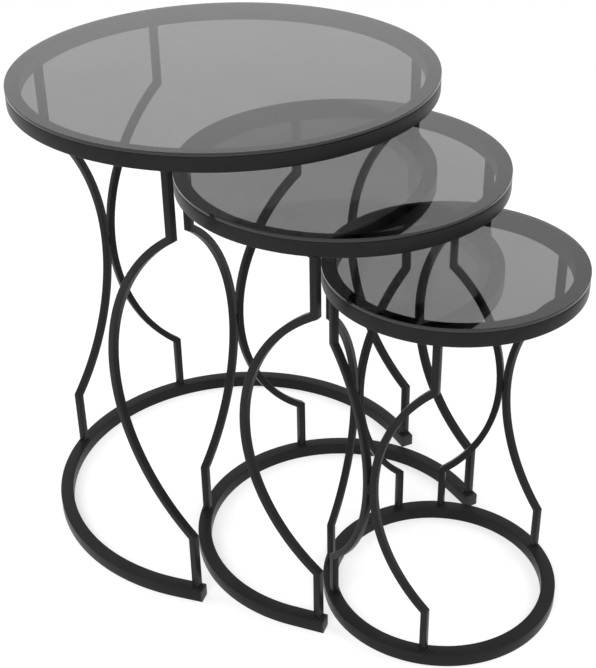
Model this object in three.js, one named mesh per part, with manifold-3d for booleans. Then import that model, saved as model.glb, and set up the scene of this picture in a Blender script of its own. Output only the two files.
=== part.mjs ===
// A set of three round nesting tables. Each has a smoked glass disc on a ring of square tube, a base
// ring of the same tube on the floor, and bowed square bars standing between the two. The base rings
// of the large and the medium table are open at the front, so that the next smaller table slides in.
// Millimetres, +Z up. +X is the way the smaller tables are pulled out, +Y is left when facing +X.
import * as THREE from 'three';
import { mergeVertices } from 'three/addons/utils/BufferGeometryUtils.js';
import Module from 'manifold-3d';

// Tube and glass stock
const tubeWidth = 17;
const tubeHeight = 17;
const tubeWall = 1.5;
const ventDiameter = 5;
const glassThickness = 4;
const glassChamfer = 0.5;

// Large table. Radii are to the outside of the rings, and the glass is flush with them.
const largeHeight = 595;
const largeRadius = 250;
const largeBar = 9;
const largePost = 78;
const largePairHalfAngle = 23.6;
const largeFrontBow = 106;
const largeFrontAim = 4;
const largeRun = 36;

// Medium table
const mediumRadius = 187;
const mediumBar = 9;
const mediumPost = 69;
const mediumPairHalfAngle = 32.4;
const mediumFrontBow = 99;
const mediumFrontAim = 6;
const mediumRun = 42;

// Small table
const smallRadius = 143;
const smallBar = 8;
const smallPost = 58.5;
const smallPairHalfAngle = 31.5;
const smallSidePairAngle = 93;

// How far each table stands forward of the larger one around it
const mediumPull = 176;
const smallPull = 156;

// Room around the next smaller table as it slides in: above its glass, and on each side of its base
// ring in the mouth of the open ring
const nestHeadroom = 49;
const largeMouthClearance = 13;
const mediumMouthClearance = 2;

// Joints between the pieces
const weldGap = 0.3;
const glassBond = 0.3;
const waistGap = 0.3;
const waistInset = 2;
const endMargin = 8;
const plugFlange = 1.5;
const plugStem = 14;
const plugClearance = 0.3;
const plugLeadIn = 1;

// Smoothness of the curves
const ringSteps = 72;
const openRingSteps = 60;
const bowSteps = 20;
const ventSteps = 12;

const paint = { color: 0x1c1c1d, roughness: 0.45, metalness: 0.6 };
const plastic = { color: 0x202021, roughness: 0.5, metalness: 0 };
const smokedGlass = { color: 0x3c3f42, roughness: 0.05, metalness: 0, transparent: true, opacity: 0.55 };

// From the top of the glass down to the underside of the ring that carries it
const topStack = glassThickness + glassBond + tubeHeight;
const mediumHeight = largeHeight - topStack - nestHeadroom;
const smallHeight = mediumHeight - topStack - nestHeadroom;

const wasm = await Module();
wasm.setup();

const radians = THREE.MathUtils.degToRad;

function onCircle(radius, angle) {
  return new THREE.Vector2(radius * Math.cos(angle), radius * Math.sin(angle));
}

function toSolid(geometry) {
  const bare = geometry.clone();
  bare.deleteAttribute('normal');
  bare.deleteAttribute('uv');
  const merged = mergeVertices(bare, 1e-4);
  return new wasm.Manifold(new wasm.Mesh({
    numProp: 3,
    vertProperties: new Float32Array(merged.attributes.position.array),
    triVerts: new Uint32Array(merged.index.array),
  }));
}

function toGeometry(solid) {
  const mesh = solid.getMesh();
  const geometry = new THREE.BufferGeometry();
  geometry.setAttribute('position', new THREE.BufferAttribute(new Float32Array(mesh.vertProperties), 3));
  geometry.setIndex(new THREE.BufferAttribute(new Uint32Array(mesh.triVerts), 1));
  geometry.computeVertexNormals();
  return geometry;
}

// A shape cuts each of its arcs into twice curveSegments
function extrude(shape, depth, arcSteps) {
  return new THREE.ExtrudeGeometry(shape, { depth, bevelEnabled: false, curveSegments: arcSteps / 2 });
}

function named(name, geometry, finish) {
  const mesh = new THREE.Mesh(geometry, new THREE.MeshStandardMaterial(finish));
  mesh.name = name;
  return mesh;
}

// A disc with a small chamfer around both faces. Its underside lies at z = 0.
function glassDisc(radius) {
  const disc = new THREE.LatheGeometry([
    new THREE.Vector2(0, 0),
    new THREE.Vector2(radius - glassChamfer, 0),
    new THREE.Vector2(radius, glassChamfer),
    new THREE.Vector2(radius, glassThickness - glassChamfer),
    new THREE.Vector2(radius - glassChamfer, glassThickness),
    new THREE.Vector2(0, glassThickness),
  ], ringSteps);
  disc.rotateX(Math.PI / 2);
  return disc;
}

// Plan outline of a closed ring for a stock of the given half width
function closedOutline(midRadius, halfWidth) {
  const shape = new THREE.Shape();
  shape.absarc(0, 0, midRadius + halfWidth, 0, 2 * Math.PI, false);
  const hole = new THREE.Path();
  hole.absarc(0, 0, midRadius - halfWidth, 0, 2 * Math.PI, true);
  shape.holes.push(hole);
  return shape;
}

// An open ring is round at the back, and at each end it runs straight on for runLength. The arc stops
// at the angle that sets the inner corners of the ends mouthHalfWidth from the table's middle plane.
// This is the middle line of the left run: where it leaves the arc, its direction and its length.
function frontRun(midRadius, runLength, mouthHalfWidth) {
  const innerRadius = midRadius - tubeWidth / 2;
  const reach = Math.hypot(innerRadius, runLength);
  const angle = Math.asin(mouthHalfWidth / reach) + Math.atan2(runLength, innerRadius);
  return {
    angle,
    start: onCircle(midRadius, angle),
    along: onCircle(1, angle - Math.PI / 2),
    length: runLength,
  };
}

// Plan outline of an open ring, with its runs cut or drawn out to the given length
function openOutline(midRadius, halfWidth, run, length) {
  const corner = (side, radius, distance) => {
    const point = onCircle(radius, run.angle).addScaledVector(run.along, distance);
    return [point.x, side * point.y];
  };
  const outer = midRadius + halfWidth;
  const inner = midRadius - halfWidth;
  const shape = new THREE.Shape();
  shape.moveTo(...corner(1, outer, length));
  shape.lineTo(...corner(1, outer, 0));
  shape.absarc(0, 0, outer, run.angle, 2 * Math.PI - run.angle, false);
  shape.lineTo(...corner(-1, outer, length));
  shape.lineTo(...corner(-1, inner, length));
  shape.lineTo(...corner(-1, inner, 0));
  shape.absarc(0, 0, inner, 2 * Math.PI - run.angle, run.angle, true);
  shape.lineTo(...corner(1, inner, length));
  shape.closePath();
  return shape;
}

// Square tube bent to a plan outline, its underside at z = 0. skinOutline is the outline of the tube
// itself and boreOutline that of its inside.
function bentTube(skinOutline, boreOutline, arcSteps) {
  const bore = extrude(boreOutline, tubeHeight - 2 * tubeWall, arcSteps);
  bore.translate(0, 0, tubeWall);
  return toSolid(extrude(skinOutline, tubeHeight, arcSteps)).subtract(toSolid(bore));
}

// A closed tube ring needs a vent in its underside, at the back, for air to leave it in the oven
function closedTubeRing(midRadius) {
  const half = tubeWidth / 2;
  const tube = bentTube(
    closedOutline(midRadius, half),
    closedOutline(midRadius, half - tubeWall),
    ringSteps,
  );
  const vent = new THREE.CylinderGeometry(ventDiameter / 2, ventDiameter / 2, 2 * tubeWall, ventSteps);
  vent.rotateX(Math.PI / 2);
  vent.translate(-midRadius, 0, tubeWall / 2);
  return toGeometry(tube.subtract(toSolid(vent)));
}

// An open tube ring's bore runs out through both of its ends
function openTubeRing(midRadius, run) {
  const half = tubeWidth / 2;
  const length = run.length - plugFlange;
  return toGeometry(bentTube(
    openOutline(midRadius, half, run, length),
    openOutline(midRadius, half - tubeWall, run, length + tubeWall),
    openRingSteps,
  ));
}

// A plug for a tube end: a flange as big as the tube and a stem that fits its bore. It points along
// +X, with the flange's inner face at x = 0 and the tube's underside at z = 0.
function tubePlug() {
  const stemHalf = tubeWidth / 2 - tubeWall - plugClearance;
  const plan = new THREE.Shape();
  plan.moveTo(-plugStem, -stemHalf + plugLeadIn);
  plan.lineTo(-plugStem + plugLeadIn, -stemHalf);
  plan.lineTo(0, -stemHalf);
  plan.lineTo(0, stemHalf);
  plan.lineTo(-plugStem + plugLeadIn, stemHalf);
  plan.lineTo(-plugStem, stemHalf - plugLeadIn);
  plan.closePath();
  const stem = extrude(plan, tubeHeight - 2 * (tubeWall + plugClearance), 2);
  stem.translate(0, 0, tubeWall + plugClearance);
  const flange = new THREE.BoxGeometry(plugFlange, tubeWidth, tubeHeight);
  flange.translate(plugFlange / 2, 0, tubeHeight / 2);
  return toGeometry(toSolid(stem).add(toSolid(flange)));
}

// A leg bar on its own foot at the origin, bowing towards +X: a short upright post, a sharp kink, a
// round bow that is `bow` deep at its middle, a kink, and an upright post again
function legBar({ bar, bottom, top, post, bow }) {
  const middle = (bottom + top) / 2;
  const span = top - bottom - 2 * post;
  const radius = (span * span / 4 + bow * bow) / (2 * bow);
  const centre = bow - radius;
  const half = bar / 2;
  // Where each side of the bow meets the same side of the posts, as a height from the middle
  const meets = (side) => Math.sqrt((radius + side) ** 2 - (side - centre) ** 2);
  const turn = (side) => Math.atan2(meets(side), side - centre);
  const outline = new THREE.Shape();
  outline.moveTo(-half, bottom);
  outline.lineTo(half, bottom);
  outline.lineTo(half, middle - meets(half));
  outline.absarc(centre, middle, radius + half, -turn(half), turn(half), false);
  outline.lineTo(half, top);
  outline.lineTo(-half, top);
  outline.lineTo(-half, middle + meets(-half));
  outline.absarc(centre, middle, radius - half, turn(-half), -turn(-half), true);
  outline.closePath();
  const geometry = extrude(outline, bar, bowSteps);
  geometry.translate(0, 0, -half);
  geometry.rotateX(Math.PI / 2);
  return geometry;
}

// How deep the two bars of a pair bow so that their near edges meet at the pair's middle plane
function pairBow(midRadius, halfAngle, bar) {
  const foot = onCircle(midRadius, halfAngle);
  const aim = new THREE.Vector2(midRadius - waistInset, 0).sub(foot).normalize();
  const reach = foot.y - waistGap / 2 - Math.abs(aim.x) * bar / 2;
  return reach / Math.abs(aim.y) - bar / 2;
}

// One bar of a pair. Its foot stands `offset` round from the pair's middle, and it bows towards it.
function pairBar(label, midRadius, middle, offset, bow) {
  const foot = onCircle(midRadius, middle + offset);
  const waist = onCircle(midRadius - waistInset, middle);
  return { label, foot, aim: waist.sub(foot).angle(), bow };
}

// The left-hand bars of an open table: one of the pair at the back, and a single one near the end of
// the ring. The single one bows backwards and a little outwards, to leave the way in clear.
function openTableBars(midRadius, halfAngle, bow, run, spec) {
  return [
    pairBar('back', midRadius, Math.PI, -halfAngle, bow),
    {
      label: 'front',
      foot: run.start.clone().addScaledVector(run.along, run.length - endMargin),
      aim: Math.PI - radians(spec.frontAim),
      bow: spec.frontBow,
    },
  ];
}

// The left-hand bars of the small table: one of the back pair, and both of the left pair
function closedTableBars(midRadius, halfAngle, bow) {
  const side = radians(smallSidePairAngle);
  return [
    pairBar('back', midRadius, Math.PI, -halfAngle, bow),
    pairBar('side', midRadius, side, halfAngle, bow),
    pairBar('front', midRadius, side, -halfAngle, bow),
  ];
}

const mirrored = [['left', 1], ['right', -1]];

function baseParts(name, midRadius, run) {
  if (!run) {
    return [named(`${name}_base_ring`, closedTubeRing(midRadius), paint)];
  }
  const parts = [named(`${name}_base_ring`, openTubeRing(midRadius, run), paint)];
  for (const [side, sign] of mirrored) {
    const plug = named(`${name}_end_plug_${side}`, tubePlug(), plastic);
    const end = run.start.clone().addScaledVector(run.along, run.length - plugFlange + weldGap);
    plug.position.set(end.x, sign * end.y, 0);
    plug.rotation.z = sign * run.along.angle();
    parts.push(plug);
  }
  return parts;
}

function legParts(name, spec, midRadius, run) {
  const halfAngle = radians(spec.pairHalfAngle);
  const pairDepth = pairBow(midRadius, halfAngle, spec.bar);
  const bottom = tubeHeight + weldGap;
  const top = spec.height - topStack - weldGap;
  const bars = run
    ? openTableBars(midRadius, halfAngle, pairDepth, run, spec)
    : closedTableBars(midRadius, halfAngle, pairDepth);
  const parts = [];
  for (const { label, foot, aim, bow } of bars) {
    for (const [side, sign] of mirrored) {
      const shape = legBar({ bar: spec.bar, bottom, top, post: spec.post, bow });
      const leg = named(`${name}_leg_${label}_${side}`, shape, paint);
      leg.position.set(foot.x, sign * foot.y, 0);
      leg.rotation.z = sign * aim;
      parts.push(leg);
    }
  }
  return parts;
}

function table(name, spec) {
  const midRadius = spec.radius - tubeWidth / 2;
  const run = spec.mouthHalfWidth ? frontRun(midRadius, spec.run, spec.mouthHalfWidth) : null;

  const top = named(`${name}_glass_top`, glassDisc(spec.radius), smokedGlass);
  top.position.z = spec.height - glassThickness;

  const topRing = named(`${name}_top_ring`, closedTubeRing(midRadius), paint);
  topRing.position.z = spec.height - topStack;

  const group = new THREE.Group();
  group.add(top, topRing, ...baseParts(name, midRadius, run), ...legParts(name, spec, midRadius, run));
  return group;
}

const large = table('large', {
  height: largeHeight,
  radius: largeRadius,
  bar: largeBar,
  post: largePost,
  pairHalfAngle: largePairHalfAngle,
  frontBow: largeFrontBow,
  frontAim: largeFrontAim,
  run: largeRun,
  mouthHalfWidth: mediumRadius + largeMouthClearance,
});

const medium = table('medium', {
  height: mediumHeight,
  radius: mediumRadius,
  bar: mediumBar,
  post: mediumPost,
  pairHalfAngle: mediumPairHalfAngle,
  frontBow: mediumFrontBow,
  frontAim: mediumFrontAim,
  run: mediumRun,
  mouthHalfWidth: smallRadius + mediumMouthClearance,
});

const small = table('small', {
  height: smallHeight,
  radius: smallRadius,
  bar: smallBar,
  post: smallPost,
  pairHalfAngle: smallPairHalfAngle,
});

// The row is centred on its own length, with the floor at z = 0
const rear = -largeRadius;
const front = mediumPull + smallPull + smallRadius;
large.position.x = -(rear + front) / 2;
medium.position.x = large.position.x + mediumPull;
small.position.x = medium.position.x + smallPull;

const group = new THREE.Group();
group.add(large, medium, small);

export default group;
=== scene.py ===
import math

import bpy
from mathutils import Euler, Matrix, Vector


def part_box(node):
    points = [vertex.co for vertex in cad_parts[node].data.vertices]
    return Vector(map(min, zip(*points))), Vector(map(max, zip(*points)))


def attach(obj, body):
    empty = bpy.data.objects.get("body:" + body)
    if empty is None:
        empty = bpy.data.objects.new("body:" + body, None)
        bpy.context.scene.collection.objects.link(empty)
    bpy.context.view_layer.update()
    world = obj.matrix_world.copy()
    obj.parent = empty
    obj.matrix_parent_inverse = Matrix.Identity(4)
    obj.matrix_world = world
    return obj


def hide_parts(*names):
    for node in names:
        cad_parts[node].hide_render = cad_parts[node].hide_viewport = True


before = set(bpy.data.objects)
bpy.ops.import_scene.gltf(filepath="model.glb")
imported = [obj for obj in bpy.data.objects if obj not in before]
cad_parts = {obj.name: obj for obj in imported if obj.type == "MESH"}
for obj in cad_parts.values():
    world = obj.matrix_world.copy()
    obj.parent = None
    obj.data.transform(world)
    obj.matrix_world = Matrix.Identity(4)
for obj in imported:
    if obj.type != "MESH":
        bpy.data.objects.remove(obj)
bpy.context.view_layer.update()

millimetre = 0.001
speck = 1e-6                             # metres, places closer than this count as the same
sharpAngle = 60                          # degrees, an edge that turns more than this gets rounded
tables = ["large", "medium", "small"]
openTables = ["large", "medium"]         # their base rings have a mouth in front
sides = {"left": 1, "right": -1}


def startObjectMode():
    if bpy.context.mode != "OBJECT":
        bpy.ops.object.mode_set(mode="OBJECT")
    bpy.ops.object.select_all(action="DESELECT")


def makeActive(piece):
    startObjectMode()
    piece.select_set(True)
    bpy.context.view_layer.objects.active = piece


def editAll(piece):
    makeActive(piece)
    bpy.ops.object.mode_set(mode="EDIT")
    bpy.ops.mesh.select_all(action="SELECT")


def spin(steps, angle, centre, axis):
    # the operator turns against the right-hand rule, so the angle changes its sign here
    bpy.ops.mesh.spin(steps=steps, angle=-angle, center=centre, axis=axis)


def selectWhere(piece, kind, test):
    # selects in edit mode the vertices or faces that pass the test
    bpy.ops.mesh.select_mode(type=kind)
    bpy.ops.mesh.select_all(action="DESELECT")
    bpy.ops.object.mode_set(mode="OBJECT")
    for element in piece.data.vertices if kind == "VERT" else piece.data.polygons:
        element.select = test(element)
    bpy.ops.object.mode_set(mode="EDIT")


def roundedSquare(size, corner, steps):
    # a flat square with round corners, left in edit mode and selected all over
    startObjectMode()
    bpy.ops.mesh.primitive_plane_add(size=size)
    piece = bpy.context.object
    editAll(piece)
    bpy.ops.mesh.bevel(offset=corner, segments=steps, affect="VERTICES")
    bpy.ops.mesh.select_all(action="SELECT")
    return piece


def addModifier(piece, kind, settings):
    modifier = piece.modifiers.new(kind.lower(), kind)
    for name, value in settings.items():
        setattr(modifier, name, value)
    makeActive(piece)
    bpy.ops.object.modifier_apply(modifier=modifier.name)


def roundEdges(piece, radius, steps):
    addModifier(piece, "BEVEL", {"width": radius, "segments": steps,
                                 "limit_method": "ANGLE", "angle_limit": math.radians(sharpAngle)})


def smooth(piece, degrees=30):
    makeActive(piece)
    bpy.ops.object.shade_smooth_by_angle(angle=math.radians(degrees))


def placed(piece, name, matrix):
    # a copy with a mesh of its own, its place in the mesh and the object at the origin
    copy = piece.copy()
    copy.data = piece.data.copy()
    copy.name = name
    copy.data.name = name
    bpy.context.scene.collection.objects.link(copy)
    copy.data.transform(matrix)
    return copy


def remove(piece):
    mesh = piece.data
    bpy.data.objects.remove(piece)
    bpy.data.meshes.remove(mesh)


def finishPiece(piece, table, material, replaced=None):
    piece.data.materials.clear()
    piece.data.materials.append(material)
    if replaced:
        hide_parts(replaced)
    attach(piece, f"{table}_table")


def linear(hexColour):
    # sRGB hex to the linear colour that the shaders take
    channels = [int(hexColour[i:i + 2], 16) / 255 for i in (1, 3, 5)]
    return (*[c / 12.92 if c <= 0.04045 else ((c + 0.055) / 1.055) ** 2.4 for c in channels], 1)


def addNode(tree, kind, settings=None, links=None):
    node = tree.nodes.new(kind)
    for name, value in (settings or {}).items():
        if name in node.inputs:
            node.inputs[name].default_value = value
        else:
            setattr(node, name, value)
    for name, source in (links or {}).items():
        tree.links.new(source, node.inputs[name])
    return node


def newMaterial(name):
    material = bpy.data.materials.new(name)
    material.use_nodes = True
    material.node_tree.nodes.clear()
    return material, material.node_tree


noiseLow, noiseHigh = 0.3, 0.7           # from here to here a noise goes from dark to light


def noiseOn(tree, place, sizeMm, detail):
    # noise whose blotches are about sizeMm across
    noise = addNode(tree, "ShaderNodeTexNoise", {"Scale": 1 / (sizeMm * millimetre), "Detail": detail},
                    {"Vector": place})
    return noise.outputs["Fac"]


def bumpFrom(tree, height, depthMm):
    bump = addNode(tree, "ShaderNodeBump", {"Strength": 1.0, "Distance": depthMm * millimetre},
                   {"Height": height})
    return bump.outputs["Normal"]


def spread(tree, value, low, high):
    return addNode(tree, "ShaderNodeMapRange",
                   {"From Min": noiseLow, "From Max": noiseHigh, "To Min": low, "To Max": high},
                   {"Value": value}).outputs["Result"]


def tinted(tree, value, dark, light):
    ramp = addNode(tree, "ShaderNodeValToRGB", None, {"Fac": value})
    ramp.color_ramp.elements[0].position = noiseLow
    ramp.color_ramp.elements[0].color = linear(dark)
    ramp.color_ramp.elements[1].position = noiseHigh
    ramp.color_ramp.elements[1].color = linear(light)
    return ramp.outputs["Color"]


smokedGlass = {
    "dark": "#7a7a7b", "light": "#7e7e7f",   # how much light the dyed sheet lets through
    "ior": 1.52,
    "meltMm": 90,                            # how far apart the melt is a little lighter or darker
    "waveMm": 140, "waveDepthMm": 0.015,     # the rollers of the toughening oven
}


def makeSmokedGlass():
    # Grey-dyed float glass, fire-polished and then toughened: a dark clear view through it, and a
    # mirror on top that the oven's rollers left a trace wavy.
    material, tree = newMaterial("smokedFloatGlass")
    place = addNode(tree, "ShaderNodeTexCoord").outputs["Object"]
    melt = noiseOn(tree, place, smokedGlass["meltMm"], detail=3)
    wave = noiseOn(tree, place, smokedGlass["waveMm"], detail=0)
    shader = addNode(tree, "ShaderNodeBsdfPrincipled",
                     {"IOR": smokedGlass["ior"], "Transmission Weight": 1.0, "Roughness": 0.0},
                     {"Base Color": tinted(tree, melt, smokedGlass["dark"], smokedGlass["light"]),
                      "Normal": bumpFrom(tree, wave, smokedGlass["waveDepthMm"])})
    addNode(tree, "ShaderNodeOutputMaterial", None, {"Surface": shader.outputs["BSDF"]})
    return material


groundEdge = {
    "dark": "#1e1f20", "light": "#28292a",
    "ior": 1.52, "transmission": 0.3,
    "gritMm": 3,                         # a 0.1 mm grit, drawn coarser so that it shows
    "roughLow": 0.10, "roughHigh": 0.18,
}


def makeGroundEdge():
    # The same glass where a wheel ground and buffed its rim: the eye looks along the tinted sheet there,
    # so it is nearly black, with a soft line of light on each chamfer
    material, tree = newMaterial("groundGlassEdge")
    place = addNode(tree, "ShaderNodeTexCoord").outputs["Object"]
    grit = noiseOn(tree, place, groundEdge["gritMm"], detail=3)
    shader = addNode(tree, "ShaderNodeBsdfPrincipled",
                     {"IOR": groundEdge["ior"], "Transmission Weight": groundEdge["transmission"]},
                     {"Base Color": tinted(tree, grit, groundEdge["dark"], groundEdge["light"]),
                      "Roughness": spread(tree, grit, groundEdge["roughLow"], groundEdge["roughHigh"])})
    addNode(tree, "ShaderNodeOutputMaterial", None, {"Surface": shader.outputs["BSDF"]})
    return material


powderCoat = {
    "dark": "#212122", "light": "#272728",
    "specular": 0.10,
    "roughLow": 0.30, "roughHigh": 0.38,
    "flowMm": 45,                        # how far apart the coat is a little thicker or thinner
    "peelMm": 2.4, "peelDepthMm": 0.012, # orange peel
    "weldPeelDepthMm": 0.024,            # the powder lies rougher on a weld
}


def makePowderCoat(name, peelDepthMm):
    # Black polyester powder baked on steel: satin, greyer where the eye grazes it, with a fine orange peel
    # and no flake
    material, tree = newMaterial(name)
    place = addNode(tree, "ShaderNodeTexCoord").outputs["Object"]
    flow = noiseOn(tree, place, powderCoat["flowMm"], detail=3)
    peel = noiseOn(tree, place, powderCoat["peelMm"], detail=2)
    shader = addNode(tree, "ShaderNodeBsdfPrincipled",
                     {"Specular IOR Level": powderCoat["specular"]},
                     {"Base Color": tinted(tree, flow, powderCoat["dark"], powderCoat["light"]),
                      "Roughness": spread(tree, peel, powderCoat["roughLow"], powderCoat["roughHigh"]),
                      "Normal": bumpFrom(tree, peel, peelDepthMm)})
    addNode(tree, "ShaderNodeOutputMaterial", None, {"Surface": shader.outputs["BSDF"]})
    return material


polyethylene = {
    "dark": "#262627", "light": "#323233",
    "specular": 0.4,
    "grainMm": 1.4, "grainDepthMm": 0.06,
    "roughLow": 0.48, "roughHigh": 0.62,
}


def makePolyethylene():
    # Polyethylene moulded in a spark-eroded tool: greyer and flatter than the coat beside it
    material, tree = newMaterial("mouldedPolyethylene")
    place = addNode(tree, "ShaderNodeTexCoord").outputs["Object"]
    grain = noiseOn(tree, place, polyethylene["grainMm"], detail=3)
    shader = addNode(tree, "ShaderNodeBsdfPrincipled",
                     {"Specular IOR Level": polyethylene["specular"]},
                     {"Base Color": tinted(tree, grain, polyethylene["dark"], polyethylene["light"]),
                      "Roughness": spread(tree, grain, polyethylene["roughLow"], polyethylene["roughHigh"]),
                      "Normal": bumpFrom(tree, grain, polyethylene["grainDepthMm"])})
    addNode(tree, "ShaderNodeOutputMaterial", None, {"Surface": shader.outputs["BSDF"]})
    return material


glassMaterial = makeSmokedGlass()
edgeMaterial = makeGroundEdge()
coatMaterial = makePowderCoat("powderCoatedSteel", powderCoat["peelDepthMm"])
weldMaterial = makePowderCoat("powderCoatedWeld", powderCoat["weldPeelDepthMm"])
plugMaterial = makePolyethylene()
print("materials made")


def levels(name):
    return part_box(name)[0].z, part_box(name)[1].z


def centreOf(table):
    low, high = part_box(f"{table}_glass_top")
    return Vector(((low.x + high.x) / 2, (low.y + high.y) / 2, 0))


def radiusOf(table):
    low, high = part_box(f"{table}_glass_top")
    return (high.x - low.x) / 2


tubeSize = levels("large_top_ring")[1] - levels("large_top_ring")[0]

tube = {
    "wall": 1.5 * millimetre,
    "corner": 1.4 * millimetre,          # outer radius of the tube's rounded corners
    "cornerSteps": 4,
    "ringSteps": 192,
    "ventRadius": 2.5 * millimetre,
    "ventSteps": 24,
    "near": 0.1 * millimetre,            # points this low lie on the floor
}


def tubeSection(x, turn=0.0):
    # the rounded outline of the tube, standing upright at distance x, with no face in it
    piece = roundedSquare(tubeSize, tube["corner"], tube["cornerSteps"])
    bpy.ops.mesh.delete(type="ONLY_FACE")
    bpy.ops.object.mode_set(mode="OBJECT")
    piece.data.transform(Matrix.Translation((0, 0, tubeSize / 2)) @ Matrix.Rotation(math.pi / 2, 4, "X"))
    piece.data.transform(Matrix.Rotation(turn, 4, "Z") @ Matrix.Translation((x, 0, 0)))
    return piece


def giveWall(piece):
    # normals first, on the single skin, and then the wall inwards
    editAll(piece)
    bpy.ops.mesh.remove_doubles(threshold=speck)
    bpy.ops.mesh.normals_make_consistent(inside=False)
    addModifier(piece, "SOLIDIFY", {"thickness": tube["wall"], "offset": -1, "use_even_offset": True})


def closedRing(midRadius):
    piece = tubeSection(midRadius)
    editAll(piece)
    spin(tube["ringSteps"], 2 * math.pi, (0, 0, 0), (0, 0, 1))
    giveWall(piece)
    # the vent under the back of the ring, which lets air out in the oven
    startObjectMode()
    bpy.ops.mesh.primitive_cylinder_add(vertices=tube["ventSteps"], radius=tube["ventRadius"],
                                        depth=3 * tube["wall"], location=(-midRadius, 0, tube["wall"] / 2))
    cutter = bpy.context.object
    addModifier(piece, "BOOLEAN", {"object": cutter, "operation": "DIFFERENCE", "solver": "EXACT"})
    remove(cutter)
    smooth(piece)
    return piece


def openRingFacts(table):
    # where the arc ends and the straight runs with their length, from the inner corner of the run's end
    centre = centreOf(table)
    inner = radiusOf(table) - tubeSize
    points = [v.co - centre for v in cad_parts[f"{table}_base_ring"].data.vertices]
    underside = [p for p in points if p.z < tube["near"] and p.x > 0 and p.y > 0]
    corner = min(underside, key=lambda p: p.y)
    run = math.sqrt(corner.x ** 2 + corner.y ** 2 - inner ** 2)
    angle = math.atan2(corner.y, corner.x) + math.atan2(run, inner)
    return {
        "midRadius": radiusOf(table) - tubeSize / 2, "angle": angle, "run": run,
        "along": Vector((math.sin(angle), -math.cos(angle), 0)),
    }


def openRing(facts):
    angle, along, run = facts["angle"], facts["along"], facts["run"]
    piece = tubeSection(facts["midRadius"], angle)
    piece.data.transform(Matrix.Translation(along * run))
    editAll(piece)
    bpy.ops.mesh.extrude_region_move(TRANSFORM_OT_translate={"value": -along * run})
    spin(tube["ringSteps"], 2 * math.pi - 2 * angle, (0, 0, 0), (0, 0, 1))
    bpy.ops.mesh.extrude_region_move(TRANSFORM_OT_translate={"value": (along.x * run, -along.y * run, 0)})
    giveWall(piece)
    smooth(piece)
    return piece


for table in tables:
    ring = closedRing(radiusOf(table) - tubeSize / 2)
    lift = Vector((0, 0, levels(f"{table}_top_ring")[0]))
    piece = placed(ring, f"{table}_top_hoop", Matrix.Translation(centreOf(table) + lift))
    finishPiece(piece, table, coatMaterial, f"{table}_top_ring")
    baseRing = openRing(openRingFacts(table)) if table in openTables else ring
    base = placed(baseRing, f"{table}_base_hoop", Matrix.Translation(centreOf(table)))
    finishPiece(base, table, coatMaterial, f"{table}_base_ring")
    if baseRing != ring:
        remove(baseRing)
    remove(ring)
print("rings made")


plug = {
    "flange": 1.5 * millimetre,
    "rim": 0.5 * millimetre, "rimSteps": 3,
    "stem": 14 * millimetre,
    "clearance": 0.3 * millimetre,
    "leadIn": 0.9,                       # how much narrower the stem is at its tip
}


def plugShape():
    # points along +X, the flange's inner face at x = 0 and the tube's middle at the origin
    piece = roundedSquare(tubeSize, tube["corner"], tube["cornerSteps"])
    bpy.ops.mesh.extrude_region_move(TRANSFORM_OT_translate={"value": (0, 0, plug["flange"])})
    bpy.ops.mesh.bevel(offset=plug["rim"], segments=plug["rimSteps"], affect="EDGES")
    selectWhere(piece, "FACE", lambda face: face.center.z < speck)
    bpy.ops.mesh.inset(thickness=tube["wall"] + plug["clearance"])
    bpy.ops.mesh.extrude_region_move(TRANSFORM_OT_translate={"value": (0, 0, -plug["stem"])})
    bpy.ops.transform.resize(value=(plug["leadIn"], plug["leadIn"], 1))
    bpy.ops.mesh.select_all(action="SELECT")
    bpy.ops.mesh.normals_make_consistent(inside=False)
    bpy.ops.object.mode_set(mode="OBJECT")
    piece.data.transform(Matrix.Rotation(math.pi / 2, 4, "Y"))
    smooth(piece)
    return piece


plugPattern = plugShape()
for table in openTables:
    facts = openRingFacts(table)
    angle, along = facts["angle"], facts["along"]
    radial = Vector((math.cos(angle), math.sin(angle), 0))
    end = radial * facts["midRadius"] + along * (facts["run"] + plug["clearance"])
    for side, sign in sides.items():
        at = centreOf(table) + Vector((end.x, sign * end.y, tubeSize / 2))
        turn = Matrix.Rotation(sign * math.atan2(along.y, along.x), 4, "Z")
        piece = placed(plugPattern, f"{table}_plug_{side}", Matrix.Translation(at) @ turn)
        finishPiece(piece, table, plugMaterial, f"{table}_end_plug_{side}")
remove(plugPattern)
print("plugs made")


bars = {
    "edge": 0.7 * millimetre,            # radius of the drawn bar's edges
    "edgeSteps": 3,
    "bowSteps": 48,
    "near": 0.05 * millimetre,           # points this close in height are on one level
}


def barFacts(node):
    # foot, direction of the bow, its depth, the bar's thickness and the heights of its kinks
    points = [v.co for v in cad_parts[node].data.vertices]
    low, high = levels(node)
    middle = (low + high) / 2

    def meanOf(group):
        return sum(group, Vector()) / len(group)

    sole = [p for p in points if p.z < low + bars["near"]]
    foot = meanOf(sole)
    waist = meanOf([p for p in points if abs(p.z - middle) < bars["near"]])
    offset = Vector((waist.x - foot.x, waist.y - foot.y, 0))
    thickness = max((a - b).length for a in sole for b in sole) / math.sqrt(2)
    # the two lowest levels above the foot are the lower kink's corners, one on each side of the bar
    kinks = sorted({round(p.z, 6) for p in points if low + bars["near"] < p.z < middle})[:2]
    return {
        "foot": Vector((foot.x, foot.y, 0)), "turn": math.atan2(offset.y, offset.x), "bow": offset.length,
        "bar": thickness, "low": low, "high": high, "kink": sum(kinks) / 2,
    }


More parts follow.
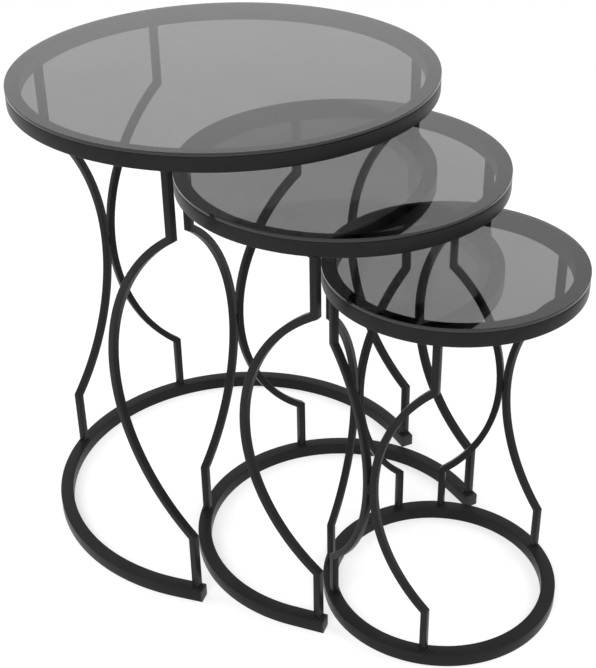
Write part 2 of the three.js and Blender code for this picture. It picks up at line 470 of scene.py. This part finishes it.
def barShape(facts):
    # the middle line as a strip, then its thickness with true mitres at the kinks, then round edges
    low, high, kink, bow = facts["low"], facts["high"], facts["kink"], facts["bow"]
    middle = (low + high) / 2
    reach = middle - kink
    bend = (reach ** 2 + bow ** 2) / (2 * bow)
    sweep = 2 * math.asin(reach / bend)
    startObjectMode()
    bpy.ops.mesh.primitive_plane_add(size=facts["bar"])
    piece = bpy.context.object
    editAll(piece)
    selectWhere(piece, "VERT", lambda vertex: vertex.co.x > 0)
    bpy.ops.mesh.delete(type="VERT")
    bpy.ops.mesh.select_all(action="SELECT")
    bpy.ops.transform.translate(value=(facts["bar"] / 2, 0, low))
    bpy.ops.mesh.extrude_region_move(TRANSFORM_OT_translate={"value": (0, 0, kink - low)})
    spin(bars["bowSteps"], -sweep, (bow - bend, 0, middle), (0, 1, 0))
    bpy.ops.mesh.extrude_region_move(TRANSFORM_OT_translate={"value": (0, 0, kink - low)})
    bpy.ops.mesh.select_all(action="SELECT")
    bpy.ops.mesh.remove_doubles(threshold=speck)
    bpy.ops.mesh.normals_make_consistent(inside=False)
    addModifier(piece, "SOLIDIFY", {"thickness": facts["bar"], "offset": 0, "use_even_offset": True})
    roundEdges(piece, bars["edge"], bars["edgeSteps"])
    smooth(piece)
    return piece


legNames = {
    "large": ["back", "front"],
    "medium": ["back", "front"],
    "small": ["back", "side", "front"],
}

for table in tables:
    for label in legNames[table]:
        pattern = barShape(barFacts(f"{table}_leg_{label}_left"))
        for side in sides:
            node = f"{table}_leg_{label}_{side}"
            facts = barFacts(node)
            matrix = Matrix.Translation(facts["foot"]) @ Matrix.Rotation(facts["turn"], 4, "Z")
            piece = placed(pattern, f"{table}_bar_{label}_{side}", matrix)
            finishPiece(piece, table, coatMaterial, node)
        remove(pattern)
print("bars made")


weld = {
    "bead": 1.25 * millimetre, "beadSteps": 3, "beadCuts": 5,
    "corner": 1.2 * millimetre, "cornerSteps": 4,
    "merge": 1e-7,                       # metres, points closer than this become one
    "lumpMm": 2.2, "lumpDepth": 0.5 * millimetre,
    "smoothAngle": 60,                   # degrees
    "waistLength": 15 * millimetre, "waistBead": 1.3 * millimetre,
    "waistAround": 16, "waistRings": 12, "waistCuts": 2,
    "waistSink": 0.4 * millimetre,       # how deep a waist bead sits in the groove between two bars
}

lumps = bpy.data.textures.new("weldRipple", "CLOUDS")
lumps.noise_scale = weld["lumpMm"] * millimetre


def roughen(piece):
    addModifier(piece, "DISPLACE", {"texture": lumps, "texture_coords": "LOCAL",
                                    "strength": weld["lumpDepth"], "mid_level": 0.5})
    smooth(piece, weld["smoothAngle"])


def footBead(thickness):
    # a fillet bead that runs once round a square bar, centred on the origin
    piece = roundedSquare(thickness + weld["bead"], weld["corner"], weld["cornerSteps"])
    bpy.ops.mesh.delete(type="ONLY_FACE")
    bpy.ops.mesh.select_all(action="SELECT")
    bpy.ops.mesh.subdivide(number_cuts=weld["beadCuts"])
    makeActive(piece)
    bpy.ops.object.convert(target="CURVE")
    curve = bpy.context.object
    curve.data.bevel_depth = weld["bead"]
    curve.data.bevel_resolution = weld["beadSteps"]
    bpy.ops.object.convert(target="MESH")
    piece = bpy.context.object
    editAll(piece)
    bpy.ops.mesh.remove_doubles(threshold=weld["merge"])
    bpy.ops.mesh.normals_make_consistent(inside=False)
    roughen(piece)
    return piece


def waistBead():
    # a short upright bead, round at both ends
    startObjectMode()
    bpy.ops.mesh.primitive_uv_sphere_add(segments=weld["waistAround"], ring_count=weld["waistRings"],
                                         radius=weld["waistBead"])
    piece = bpy.context.object
    half = weld["waistLength"] / 2 - weld["waistBead"]
    editAll(piece)
    selectWhere(piece, "VERT", lambda vertex: vertex.co.z > speck)
    bpy.ops.transform.translate(value=(0, 0, half))
    selectWhere(piece, "VERT", lambda vertex: vertex.co.z < -speck)
    bpy.ops.transform.translate(value=(0, 0, -half))
    bpy.ops.mesh.select_all(action="SELECT")
    bpy.ops.mesh.subdivide(number_cuts=weld["waistCuts"])
    roughen(piece)
    return piece


def join(parts, name):
    startObjectMode()
    for part in parts:
        part.select_set(True)
    bpy.context.view_layer.objects.active = parts[0]
    bpy.ops.object.join()
    parts[0].name = name
    return parts[0]


for table in tables:
    beadPattern = footBead(barFacts(f"{table}_leg_back_left")["bar"])
    for label in legNames[table]:
        for side in sides:
            facts = barFacts(f"{table}_leg_{label}_{side}")
            turn = Matrix.Rotation(facts["turn"], 4, "Z")
            beads = []
            for height in (facts["low"], facts["high"]):
                at = Matrix.Translation(facts["foot"] + Vector((0, 0, height)))
                beads.append(placed(beadPattern, "bead", at @ turn))
            piece = join(beads, f"{table}_weld_{label}_{side}")
            finishPiece(piece, table, weldMaterial)
    remove(beadPattern)
print("foot welds made")

waistPairs = [
    ("large", "back", ("large_leg_back_left", "large_leg_back_right")),
    ("medium", "back", ("medium_leg_back_left", "medium_leg_back_right")),
    ("small", "back", ("small_leg_back_left", "small_leg_back_right")),
    ("small", "left", ("small_leg_side_left", "small_leg_front_left")),
    ("small", "right", ("small_leg_side_right", "small_leg_front_right")),
]


def waistOf(node):
    facts = barFacts(node)
    out = Vector((math.cos(facts["turn"]), math.sin(facts["turn"]), 0)) * facts["bow"]
    return facts["foot"] + out + Vector((0, 0, (facts["low"] + facts["high"]) / 2)), facts["bar"]


waistPattern = waistBead()
for table, label, nodes in waistPairs:
    (first, bar), (second, _) = waistOf(nodes[0]), waistOf(nodes[1])
    middle = (first + second) / 2
    outward = middle - centreOf(table)
    outward.z = 0
    outward.normalize()
    depth = bar / 2 - weld["waistSink"]
    beads = [placed(waistPattern, "bead", Matrix.Translation(middle + outward * offset))
             for offset in (depth, -depth)]
    piece = join(beads, f"{table}_waist_weld_{label}")
    finishPiece(piece, table, weldMaterial)
remove(waistPattern)
print("waist welds made")


glass = {
    "edge": 0.7 * millimetre,            # radius ground on both rims
    "edgeSteps": 3,
    "steps": 256,
    "margin": 0.3 * millimetre,          # a narrow ring that keeps the flat faces flat up to the ground rim
    "flat": 0.999,                       # a face is flat when its normal rises at least this much
}


def isFlat(face):
    return abs(face.normal.z) > glass["flat"]


def glassShape(radius, thickness):
    startObjectMode()
    bpy.ops.mesh.primitive_cylinder_add(vertices=glass["steps"], radius=radius, depth=thickness,
                                        location=(0, 0, thickness / 2))
    piece = bpy.context.object
    bpy.ops.object.transform_apply(location=True, rotation=True, scale=True)
    roundEdges(piece, glass["edge"], glass["edgeSteps"])
    editAll(piece)
    selectWhere(piece, "FACE", isFlat)
    bpy.ops.mesh.inset(thickness=glass["margin"])
    smooth(piece)
    return piece


for table in tables:
    low, high = levels(f"{table}_glass_top")
    disc = glassShape(radiusOf(table), high - low)
    piece = placed(disc, f"{table}_glass_disc", Matrix.Translation(centreOf(table) + Vector((0, 0, low))))
    finishPiece(piece, table, glassMaterial, f"{table}_glass_top")
    piece.data.materials.append(edgeMaterial)
    for face in piece.data.polygons:
        face.material_index = 0 if isFlat(face) else 1
    remove(disc)
print("glass made")


studio = {
    "floorHalf": 9.0,
    "floorDrop": 0.2 * millimetre,       # keeps the paper just under the rings
    "cloudMm": 400,                      # how far apart the paper is a trace lighter or darker
    "fadeFrom": 0.9, "fadeTo": 2.0,      # metres from the middle
    "floorDark": "#c2c2c2", "floorLight": "#c4c4c4",
    "floorLift": 0.58,                   # what the floor adds for the eye, so that it shows white
    "ambient": 0.50,                     # what the world sheds on everything
}


def combine(tree, operation, first, second):
    # first is a socket, second a socket or a number
    node = addNode(tree, "ShaderNodeMath", {"operation": operation})
    tree.links.new(first, node.inputs[0])
    if isinstance(second, float):
        node.inputs[1].default_value = second
    else:
        tree.links.new(second, node.inputs[1])
    return node.outputs[0]


def seenDirectly(tree):
    # 1 for what the camera sees itself, in a mirror or through glass, and 0 for what lights the rest
    path = addNode(tree, "ShaderNodeLightPath")
    some = combine(tree, "MAXIMUM", path.outputs["Is Camera Ray"], path.outputs["Is Glossy Ray"])
    return combine(tree, "MAXIMUM", some, path.outputs["Is Transmission Ray"])


def whiteLevel(tree):
    # white where it is seen, and a soft grey light for everything else
    return combine(tree, "MAXIMUM", seenDirectly(tree), studio["ambient"])


def makeFloor():
    startObjectMode()
    bpy.ops.mesh.primitive_plane_add(size=2 * studio["floorHalf"], location=(0, 0, -studio["floorDrop"]))
    floor = bpy.context.object
    floor.name = "floor"
    material, tree = newMaterial("paperSweep")
    place = addNode(tree, "ShaderNodeTexCoord").outputs["Object"]
    cloud = noiseOn(tree, place, studio["cloudMm"], detail=2)
    matt = addNode(tree, "ShaderNodeBsdfDiffuse", None,
                   {"Color": tinted(tree, cloud, studio["floorDark"], studio["floorLight"])})
    lift = addNode(tree, "ShaderNodeEmission", None,
                   {"Strength": combine(tree, "MULTIPLY", seenDirectly(tree), studio["floorLift"])})
    both = addNode(tree, "ShaderNodeAddShader")
    tree.links.new(matt.outputs[0], both.inputs[0])
    tree.links.new(lift.outputs[0], both.inputs[1])
    # away from the tables the paper turns into the white of the world behind it
    white = addNode(tree, "ShaderNodeEmission", None, {"Strength": whiteLevel(tree)})
    distance = addNode(tree, "ShaderNodeVectorMath", {"operation": "LENGTH"}, {"Vector": place})
    fade = addNode(tree, "ShaderNodeMapRange",
                   {"interpolation_type": "SMOOTHSTEP",
                    "From Min": studio["fadeFrom"], "From Max": studio["fadeTo"]},
                   {"Value": distance.outputs["Value"]})
    mix = addNode(tree, "ShaderNodeMixShader", None, {"Fac": fade.outputs["Result"]})
    tree.links.new(both.outputs[0], mix.inputs[1])
    tree.links.new(white.outputs[0], mix.inputs[2])
    addNode(tree, "ShaderNodeOutputMaterial", None, {"Surface": mix.outputs[0]})
    floor.data.materials.append(material)


def makeWorld():
    world = bpy.data.worlds.new("studioWorld")
    bpy.context.scene.world = world
    world.use_nodes = True
    tree = world.node_tree
    tree.nodes.clear()
    back = addNode(tree, "ShaderNodeBackground", {"Color": (1, 1, 1, 1)}, {"Strength": whiteLevel(tree)})
    addNode(tree, "ShaderNodeOutputWorld", None, {"Surface": back.outputs[0]})


lampTarget = (0, 0, 0.3)

lamps = {
    "key": {"place": (1.2, -2.4, 2.4), "size": 2.0, "power": 55},
    "fill": {"place": (-2.6, -1.0, 2.4), "size": 2.0, "power": 34},
    "back": {"place": (2.0, 2.0, 2.6), "size": 2.0, "power": 40},
}


def makeLamps():
    for name, spec in lamps.items():
        light = bpy.data.lights.new(name, "AREA")
        light.size = spec["size"]
        light.energy = spec["power"]
        lamp = bpy.data.objects.new(name, light)
        lamp.location = spec["place"]
        lamp.rotation_euler = (Vector(lampTarget) - lamp.location).to_track_quat("-Z", "Y").to_euler()
        lamp.visible_camera = False
        lamp.visible_glossy = False          # the glass mirrors the white studio and not the lamp boxes
        lamp.visible_transmission = False
        bpy.context.scene.collection.objects.link(lamp)


# the camera stands before the set, a little above it, and is turned a degree out of level
eye = {
    "fromLargeCentre": (1.0147, -1.0260, 1.1039),
    "turn": 41.60, "down": 31.75, "roll": 1.10,
    "lens": 69.8, "shiftX": 0.0021, "shiftY": 0.021, "farthest": 100,
}


def makeCamera():
    camera = bpy.data.cameras.new("camera")
    camera.lens = eye["lens"]
    camera.shift_x = eye["shiftX"]
    camera.shift_y = eye["shiftY"]
    camera.clip_end = eye["farthest"]
    piece = bpy.data.objects.new("camera", camera)
    look = Euler((math.radians(90 - eye["down"]), 0, math.radians(eye["turn"]))).to_matrix().to_4x4()
    roll = Matrix.Rotation(math.radians(-eye["roll"]), 4, "Z")
    stand = Matrix.Translation(centreOf("large") + Vector(eye["fromLargeCentre"]))
    piece.matrix_world = stand @ look @ roll
    bpy.context.scene.collection.objects.link(piece)
    bpy.context.scene.camera = piece


makeFloor()
makeWorld()
makeLamps()
makeCamera()
bpy.context.scene.view_settings.view_transform = "Standard"
print("studio made")
